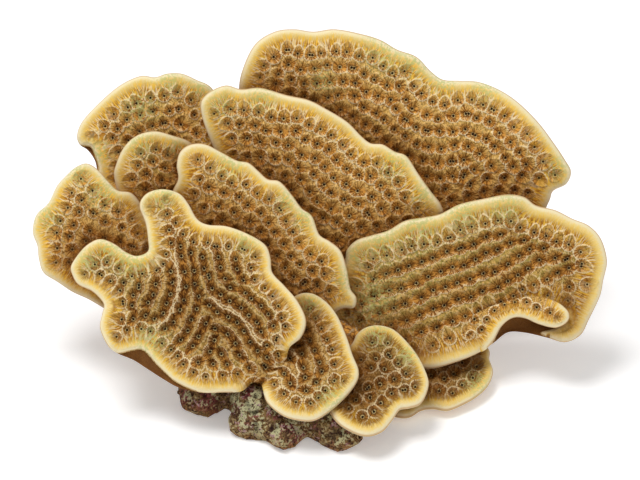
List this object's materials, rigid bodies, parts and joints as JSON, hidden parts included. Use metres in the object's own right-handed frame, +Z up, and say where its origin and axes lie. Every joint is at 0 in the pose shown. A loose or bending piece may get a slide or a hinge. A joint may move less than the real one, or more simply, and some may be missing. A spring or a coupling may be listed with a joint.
{
  "type": "cactus coral colony",
  "caption": "Leafy cactus coral colony: thin wavy overlapping plates with pitted faces and pale rounded rims, growing from a lobed piece of reef rock.",
  "frame": {"origin": "on the plane that the stone rests on, under the middle of the stone's front half", "axes": "+Z up, -Y towards the side that the fronds face, +X to the right as seen from that side"},
  "size_m": [0.2377, 0.1354, 0.1234],
  "materials": {
    "coral": "matt golden-brown tissue with dark pits, pale ridges and a cream rim",
    "growth": "matt reddish-brown, finely striped",
    "rock": "rough, mottled brown, maroon and pale encrusting patches"
  },
  "bodies": {
    "root": {"reef_rock": "rock", "encrusting_base": "growth", "frond_back_right": "coral", "frond_middle_back": "coral", "frond_right": "coral", "frond_right_lip": "coral", "frond_middle_front": "coral", "frond_upper_left": "coral", "frond_small_left": "coral", "frond_front_left": "coral", "frond_left": "coral", "frond_front_middle": "coral", "frond_small_right": "coral", "frond_lower_right": "coral"}
  },
  "joints": []
}
